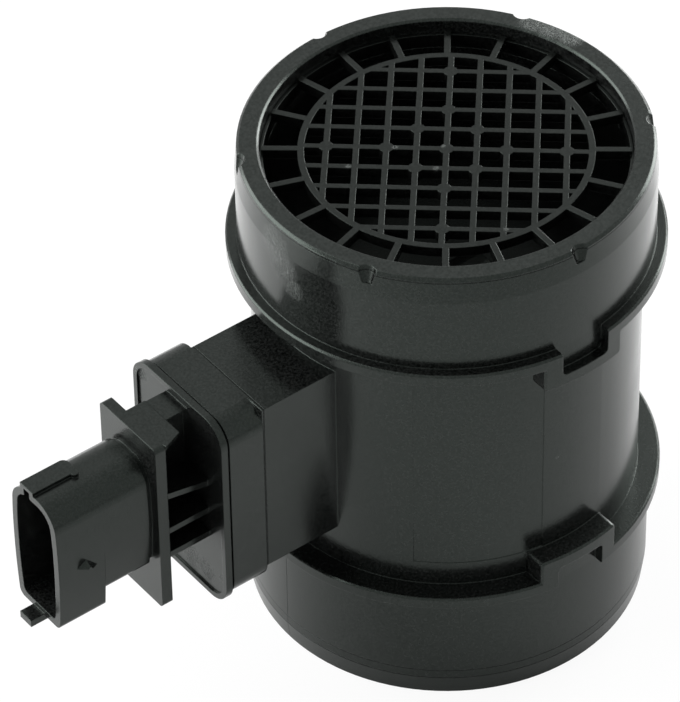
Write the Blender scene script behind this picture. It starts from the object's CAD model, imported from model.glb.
"""Studio view of a plug-in mass airflow sensor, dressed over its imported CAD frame."""
from math import radians

import bpy
from mathutils import Matrix, Vector

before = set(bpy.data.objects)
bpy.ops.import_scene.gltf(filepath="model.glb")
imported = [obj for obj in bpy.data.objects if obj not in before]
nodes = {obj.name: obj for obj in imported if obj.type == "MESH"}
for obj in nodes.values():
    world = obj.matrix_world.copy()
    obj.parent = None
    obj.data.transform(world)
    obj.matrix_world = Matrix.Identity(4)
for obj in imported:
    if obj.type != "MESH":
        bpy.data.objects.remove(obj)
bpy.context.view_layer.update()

MM_PER_M = 1000

# ---------------------------------------------------------------- camera
CAMERA_PLACE = Vector((-0.49006, -0.61780, 0.78803))
CAMERA_RIGHT = Vector((0.7997, -0.6004, 0.0)).normalized()
CAMERA_UP = Vector((0.4087, 0.5444, 0.7326)).normalized()
CAMERA_ROLL_DEGREES = -0.99
CAMERA_CLIP_START = 0.01
FRAME_HEIGHT_PX = 702
FOCAL_PX = 5454.9
SENSOR_MM = 36.0


def make_camera():
    """Long lens at the studio viewing angle."""
    data = bpy.data.cameras.new("camera")
    data.sensor_width = SENSOR_MM
    data.lens = FOCAL_PX * SENSOR_MM / FRAME_HEIGHT_PX
    data.clip_start = CAMERA_CLIP_START
    camera = bpy.data.objects.new("camera", data)
    bpy.context.scene.collection.objects.link(camera)
    back = CAMERA_RIGHT.cross(CAMERA_UP)
    facing = Matrix((CAMERA_RIGHT, CAMERA_UP, back)).transposed()
    roll = Matrix.Rotation(radians(CAMERA_ROLL_DEGREES), 3, "Z")
    camera.matrix_world = Matrix.Translation(CAMERA_PLACE) @ (facing @ roll).to_4x4()
    bpy.context.scene.camera = camera


# ---------------------------------------------------------------- node helpers
BAND_CORE = 0.5
SPOT_CORE = 0.3


class Nodes:
    """Short calls for building one node tree. Places and widths are in millimetres."""

    def __init__(self, tree):
        self.tree = tree

    def add(self, kind, **settings):
        """New node; each setting is an input's value or a property of the node."""
        node = self.tree.nodes.new(kind)
        for key, value in settings.items():
            if key in node.inputs:
                node.inputs[key].default_value = value
            else:
                setattr(node, key, value)
        return node

    def link(self, source, target):
        self.tree.links.new(source, target)

    def place(self):
        """Object space position, in metres."""
        return self.add("ShaderNodeTexCoord").outputs["Object"]

    def axes(self):
        """Object space x, y and z, in metres."""
        parts = self.add("ShaderNodeSeparateXYZ")
        self.link(self.place(), parts.inputs[0])
        return parts.outputs

    def math(self, operation, *values):
        """Math node on numbers or sockets."""
        node = self.add("ShaderNodeMath", operation=operation)
        for socket, value in zip(node.inputs, values):
            if isinstance(value, (int, float)):
                socket.default_value = value
            else:
                self.link(value, socket)
        return node.outputs[0]

    def fade(self, value, full, none):
        """1 where the value is at full, 0 from none on, smooth between."""
        node = self.add("ShaderNodeMapRange", interpolation_type="SMOOTHSTEP")
        node.inputs["From Min"].default_value = none
        node.inputs["From Max"].default_value = full
        self.link(value, node.inputs["Value"])
        return node.outputs["Result"]

    def band(self, axis, middle, half):
        """1 on a narrow band across one axis, 0 from half its width on."""
        offset = self.math("SUBTRACT", self.axes()[axis], middle / MM_PER_M)
        distance = self.math("ABSOLUTE", offset)
        return self.fade(distance, half * BAND_CORE / MM_PER_M, half / MM_PER_M)

    def spot(self, centre, radius):
        """1 around a point, 0 from the radius on."""
        distance = self.add("ShaderNodeVectorMath", operation="DISTANCE")
        self.link(self.place(), distance.inputs[0])
        distance.inputs[1].default_value = tuple(c / MM_PER_M for c in centre)
        value = distance.outputs["Value"]
        return self.fade(value, radius * SPOT_CORE / MM_PER_M, radius / MM_PER_M)

    def largest(self, masks):
        """Highest of several masks at each point."""
        total = 0.0
        for mask in masks:
            total = self.math("MAXIMUM", total, mask)
        return total

    def noise(self, scale, detail=3.0, roughness=0.55, squeeze=(1.0, 1.0, 1.0)):
        """Noise in object space: scale is in cells per metre, fewer along a squeezed axis."""
        noise = self.add("ShaderNodeTexNoise", Scale=scale, Detail=detail, Roughness=roughness)
        squeezed = self.add("ShaderNodeVectorMath", operation="MULTIPLY")
        self.link(self.place(), squeezed.inputs[0])
        squeezed.inputs[1].default_value = squeeze
        self.link(squeezed.outputs["Vector"], noise.inputs["Vector"])
        return noise.outputs["Fac"]

    def ramp(self, factor, low, low_colour, high, high_colour):
        """One colour up to low, another from high on, blended between."""
        ramp = self.add("ShaderNodeValToRGB")
        stops = ((low, low_colour), (high, high_colour))
        for element, (position, colour) in zip(ramp.color_ramp.elements, stops):
            element.position = position
            element.color = colour
        self.link(factor, ramp.inputs["Fac"])
        return ramp.outputs["Color"]

    def span(self, factor, low, high):
        """Factor 0..1 stretched to low..high."""
        node = self.add("ShaderNodeMapRange")
        node.inputs["To Min"].default_value = low
        node.inputs["To Max"].default_value = high
        self.link(factor, node.inputs["Value"])
        return node.outputs["Result"]

    def bump(self, height, depth, normal):
        """Relief of a given depth, laid over another normal."""
        node = self.add("ShaderNodeBump", Strength=1.0, Distance=depth / MM_PER_M)
        self.link(height, node.inputs["Height"])
        self.link(normal, node.inputs["Normal"])
        return node.outputs["Normal"]

    def finish(self, shader):
        """Send the shader to the material's surface."""
        self.link(shader, self.add("ShaderNodeOutputMaterial").inputs["Surface"])


def new_material(name):
    """Material with an empty node tree, and the calls to build it."""
    material = bpy.data.materials.new(name)
    material.use_nodes = True
    material.node_tree.nodes.clear()
    return material, Nodes(material.node_tree)


def grey(value, tint=(1.0, 1.0, 1.0)):
    return tuple(value * t for t in tint) + (1.0,)


# ---------------------------------------------------------------- plastic marks, millimetres
# Scuffed places: centre and radius.
HOUSING_WORN = (
    ((-40.6, 1.0, 105.0), 5.5),
    ((-40.6, -1.5, 101.0), 5.0),
    ((-40.3, -4.5, 97.5), 3.5),
    ((35.2, 16.8, 110.2), 4.2),
    ((36.8, 13.0, 110.2), 4.4),
    ((38.1, 9.0, 110.2), 4.0),
    ((35.8, -18.1, 110.2), 1.0),
    ((-3.0, -38.2, 56.6), 0.6),
)
GRID_WORN = (
    ((-7.5, 6.3, 107.8), 0.9),
    ((-17.9, 7.5, 107.8), 0.8),
    ((-5.2, -3.3, 107.8), 0.9),
    ((-0.1, 0.9, 107.8), 0.7),
    ((-5.7, -25.1, 107.8), 0.8),
)
SENSOR_WORN = (
    ((-64.0, -10.5, 39.4), 1.3),
    ((-64.0, -0.7, 38.5), 4.5),
    ((-64.0, -5.6, 38.3), 4.0),
    ((-64.0, 13.4, 76.0), 2.5),
)
# Mould lines of the housing.
RING_LINES_Z = (4.4, 6.4, 109.3)
PARTING_Y = -0.3
PARTING_TOP_Z = 24.0
PARTING_TOP_FADE = 0.2
BOSS_LINE_X = -53.4
LINE_HALF = 0.17
SKIN_RADIUS = 38.0
SKIN_FADE = 0.1
SENSOR_SIDE_FADE = 1.0


def housing_lines(n):
    """Mould lines of the housing: rings near both ends, the parting line and the boss's line."""
    x, y, z = n.axes()
    radius = n.math("SQRT", n.math("ADD", n.math("MULTIPLY", x, x), n.math("MULTIPLY", y, y)))
    outside = n.fade(radius, (SKIN_RADIUS + SKIN_FADE) / MM_PER_M, SKIN_RADIUS / MM_PER_M)
    rings = n.largest([n.band(2, height, LINE_HALF) for height in RING_LINES_Z])
    low = n.fade(z, (PARTING_TOP_Z - PARTING_TOP_FADE) / MM_PER_M, PARTING_TOP_Z / MM_PER_M)
    side_end = SENSOR_SIDE_FADE - SKIN_RADIUS
    sensor_side = n.fade(x, -SKIN_RADIUS / MM_PER_M, side_end / MM_PER_M)
    parting = n.math("MULTIPLY", n.band(1, PARTING_Y, LINE_HALF), low)
    return n.largest([
        n.math("MULTIPLY", rings, outside),
        n.math("MULTIPLY", parting, sensor_side),
        n.band(0, BOSS_LINE_X, LINE_HALF),
    ])


# ---------------------------------------------------------------- finishes
BODY_TINT = (0.96, 1.03, 0.99)
REFLECTION_TINT = (0.84, 1.0, 0.90)
STIPPLE_DARK, STIPPLE_LIGHT = 0.2, 2.4
STIPPLE_LOW, STIPPLE_HIGH = 0.35, 0.65
CLOUD_CELLS, CLOUD_DETAIL = 90.0, 4.0
PLASTIC_SHEEN_SPREAD = 0.07
GRAIN_DETAIL = 2.0
BEVEL_SAMPLES = 4

SCUFF_CELLS, SCUFF_DETAIL, SCUFF_ROUGHNESS = 2400.0, 6.0, 0.8
SCUFF_SQUEEZE = (1.0, 1.0, 0.4)
SCUFF_FULL, SCUFF_NONE = 0.80, 0.36
SCUFF_VALUE = 0.07
SCUFF_DULLING = 0.15
MARK_DEPTH = 0.05
PLAIN_SHINE, LINE_SHINE = 0.5, 0.2

METAL_DARKEST = 0.9
METAL_LOW, METAL_HIGH = 0.3, 0.7
METAL_SHEEN_SPREAD = 0.08
SPECKLED_INDEX = 1.5
SPECKLED_LOW, SPECKLED_HIGH = 0.35, 0.65
SPECKLED_SHEEN_SPREAD = 0.05


def moulded_plastic(name, value, index, roughness, grain, grain_depth, edge, worn, cut_lines=None):
    """Glass-filled moulded plastic: grained skin, cloudy sheen, eased edges and small marks.

    worn holds (centre, radius) of scuffed places, and cut_lines makes the mask of fine
    grooves in the skin. Grain, grain_depth, edge and places are in millimetres.
    """
    material, n = new_material(name)
    shader = n.add("ShaderNodeBsdfPrincipled", IOR=index)
    shader.inputs["Specular Tint"].default_value = grey(1.0, REFLECTION_TINT)
    cloud = n.noise(CLOUD_CELLS, CLOUD_DETAIL)
    fine = n.noise(MM_PER_M / grain, GRAIN_DETAIL)
    crackle = n.noise(SCUFF_CELLS, SCUFF_DETAIL, SCUFF_ROUGHNESS, SCUFF_SQUEEZE)
    places = n.largest([n.spot(*place) for place in worn])
    scuff = n.math("MULTIPLY", places, n.fade(crackle, SCUFF_FULL, SCUFF_NONE))

    dark, light = (grey(value * share, BODY_TINT) for share in (STIPPLE_DARK, STIPPLE_LIGHT))
    blend = n.add("ShaderNodeMixRGB")
    n.link(scuff, blend.inputs["Fac"])
    n.link(n.ramp(fine, STIPPLE_LOW, dark, STIPPLE_HIGH, light), blend.inputs["Color1"])
    blend.inputs["Color2"].default_value = grey(SCUFF_VALUE, BODY_TINT)
    n.link(blend.outputs["Color"], shader.inputs["Base Color"])

    sheen = n.span(cloud, roughness - PLASTIC_SHEEN_SPREAD, roughness + PLASTIC_SHEEN_SPREAD)
    dulled = n.math("ADD", sheen, n.math("MULTIPLY", scuff, SCUFF_DULLING))
    n.link(dulled, shader.inputs["Roughness"])

    relief = scuff
    if cut_lines:
        lines = cut_lines(n)
        n.link(n.span(lines, PLAIN_SHINE, LINE_SHINE), shader.inputs["Specular IOR Level"])
        relief = n.math("SUBTRACT", scuff, lines)
    eased = n.add("ShaderNodeBevel", Radius=edge / MM_PER_M, samples=BEVEL_SAMPLES)
    grained = n.bump(fine, grain_depth, eased.outputs["Normal"])
    n.link(n.bump(relief, MARK_DEPTH, grained), shader.inputs["Normal"])
    n.finish(shader.outputs["BSDF"])
    return material


def metal(name, colour, roughness, scale):
    """Plain metal with fine mill grain."""
    material, n = new_material(name)
    shader = n.add("ShaderNodeBsdfPrincipled", Metallic=1.0)
    grain = n.noise(scale)
    darkest = tuple(c * METAL_DARKEST for c in colour) + (1.0,)
    colours = n.ramp(grain, METAL_LOW, darkest, METAL_HIGH, colour + (1.0,))
    n.link(colours, shader.inputs["Base Color"])
    sheen = n.span(grain, roughness - METAL_SHEEN_SPREAD, roughness + METAL_SHEEN_SPREAD)
    n.link(sheen, shader.inputs["Roughness"])
    n.finish(shader.outputs["BSDF"])
    return material


def speckled(name, dark, light, roughness, scale):
    """Dull solid colour with a fine speckle, for ceramics, chips, glass and rubber."""
    material, n = new_material(name)
    shader = n.add("ShaderNodeBsdfPrincipled", IOR=SPECKLED_INDEX)
    grain = n.noise(scale)
    colours = n.ramp(grain, SPECKLED_LOW, dark + (1.0,), SPECKLED_HIGH, light + (1.0,))
    n.link(colours, shader.inputs["Base Color"])
    sheen = n.span(grain, roughness - SPECKLED_SHEEN_SPREAD, roughness + SPECKLED_SHEEN_SPREAD)
    n.link(sheen, shader.inputs["Roughness"])
    n.finish(shader.outputs["BSDF"])
    return material


def dress(material, node_names):
    """Give CAD nodes their material."""
    for node_name in node_names:
        for slot in nodes[node_name].material_slots:
            slot.material = material


# ---------------------------------------------------------------- surroundings
FLOOR_SIZE = 3.0
FLOOR_VALUE = 0.82
WHITE_TO_CAMERA = 0.92
WHITE_TO_GLOSS = 0.2
WORLD_LIGHT = 0.4


def backdrop_rays(n, camera_share, gloss_share):
    """Share of pure white shown to the camera, and to reflected and transmitted rays."""
    path = n.add("ShaderNodeLightPath")
    shares = {
        "Is Camera Ray": camera_share,
        "Is Glossy Ray": gloss_share,
        "Is Transmission Ray": gloss_share,
    }
    return n.largest([
        n.math("MULTIPLY", path.outputs[ray], share) for ray, share in shares.items()
    ])


def make_floor():
    """Pale floor that reads white to the camera and keeps a soft shadow."""
    half = FLOOR_SIZE / 2
    mesh = bpy.data.meshes.new("floor")
    corners = [(-half, -half, 0), (half, -half, 0), (half, half, 0), (-half, half, 0)]
    mesh.from_pydata(corners, [], [(0, 1, 2, 3)])
    floor = bpy.data.objects.new("floor", mesh)
    bpy.context.scene.collection.objects.link(floor)
    material, n = new_material("floor_white")
    paper = n.add("ShaderNodeBsdfDiffuse", Color=grey(FLOOR_VALUE))
    glow = n.add("ShaderNodeEmission", Strength=1.0)
    mix = n.add("ShaderNodeMixShader")
    n.link(backdrop_rays(n, WHITE_TO_CAMERA, WHITE_TO_GLOSS), mix.inputs[0])
    n.link(paper.outputs[0], mix.inputs[1])
    n.link(glow.outputs[0], mix.inputs[2])
    n.finish(mix.outputs[0])
    mesh.materials.append(material)


def make_world():
    """Even pale surroundings, pure white to the camera and in reflections."""
    world = bpy.data.worlds.new("surroundings")
    bpy.context.scene.world = world
    world.use_nodes = True
    n = Nodes(world.node_tree)
    background = n.tree.nodes["Background"]
    background.inputs["Color"].default_value = grey(1.0)
    strength = n.span(backdrop_rays(n, 1.0, 1.0), WORLD_LIGHT, 1.0)
    n.link(strength, background.inputs["Strength"])


def area_light(name, place, target, size, power):
    """Soft rectangular lamp at place, turned to target, hidden from the camera."""
    data = bpy.data.lights.new(name, "AREA")
    data.shape = "RECTANGLE"
    data.size, data.size_y = size
    data.energy = power
    lamp = bpy.data.objects.new(name, data)
    bpy.context.scene.collection.objects.link(lamp)
    lamp.visible_camera = False
    lamp.location = place
    facing = (Vector(target) - Vector(place)).to_track_quat("-Z", "Y")
    lamp.rotation_euler = facing.to_euler()


# Name, place, target, width and height in metres, power in watts.
LAMPS = (
    ("top_light", (-0.35, 0.5, 1.0), (0, 0, 0.05), (0.8, 0.8), 4.5),
    ("left_light", (-0.42, 0.34, 0.26), (-0.08, 0.06, 0), (0.7, 0.4), 6.0),
    ("right_light", (0.45, 0.08, 0.23), (0.09, 0.02, 0), (0.42, 0.32), 4.2),
)

bpy.context.scene.view_settings.view_transform = "Standard"
make_camera()
make_floor()
make_world()
for lamp_settings in LAMPS:
    area_light(*lamp_settings)

# ---------------------------------------------------------------- dress the nodes
housing_plastic = moulded_plastic(
    "housing_plastic", value=0.005, index=1.38, roughness=0.21, grain=0.50, grain_depth=0.012,
    edge=0.30, worn=HOUSING_WORN, cut_lines=housing_lines,
)
grid_plastic = moulded_plastic(
    "grid_plastic", value=0.003, index=1.33, roughness=0.22, grain=0.40, grain_depth=0.004,
    edge=0.22, worn=GRID_WORN,
)
sensor_plastic = moulded_plastic(
    "sensor_plastic", value=0.0045, index=1.37, roughness=0.24, grain=0.45, grain_depth=0.009,
    edge=0.25, worn=SENSOR_WORN,
)
dress(housing_plastic, ("tube_housing",))
dress(grid_plastic, ("inlet_grid",))
dress(sensor_plastic, ("sensor_body", "electronics_cover", "bypass_cover", "element_carrier"))

# Name, darkest colour, lightest colour, roughness, cells per metre, nodes.
SPECKLED = (
    ("seal_rubber", (0.018,) * 3, (0.026,) * 3, 0.55, 1500.0, ("seal_ring",)),
    ("board_ceramic", (0.74, 0.74, 0.70), (0.84, 0.84, 0.80), 0.45, 2500.0, ("circuit_board",)),
    ("chip_epoxy", (0.018,) * 3, (0.028,) * 3, 0.5, 4000.0, ("control_chip", "chip_resistors")),
    (
        "capacitor_ceramic", (0.36, 0.26, 0.16), (0.46, 0.34, 0.22), 0.4, 5000.0,
        ("chip_capacitors",),
    ),
    ("element_silicon", (0.10, 0.12, 0.16), (0.14, 0.17, 0.22), 0.15, 1800.0, ("sensor_element",)),
    ("bead_glass", (0.12, 0.05, 0.03), (0.20, 0.08, 0.05), 0.2, 1800.0, ("temperature_bead",)),
)
# Name, colour, roughness, cells per metre, nodes.
METALS = (
    ("plate_aluminium", (0.80, 0.80, 0.81), 0.38, 900.0, ("base_plate",)),
    ("wire_aluminium", (0.85, 0.85, 0.86), 0.3, 4000.0, ("bond_wires", "bead_leads")),
    (
        "terminal_tin", (0.78, 0.77, 0.74), 0.28, 1500.0,
        ("terminal_1", "terminal_2", "terminal_3", "terminal_4"),
    ),
)
for *settings, node_names in SPECKLED:
    dress(speckled(*settings), node_names)
for *settings, node_names in METALS:
    dress(metal(*settings), node_names)
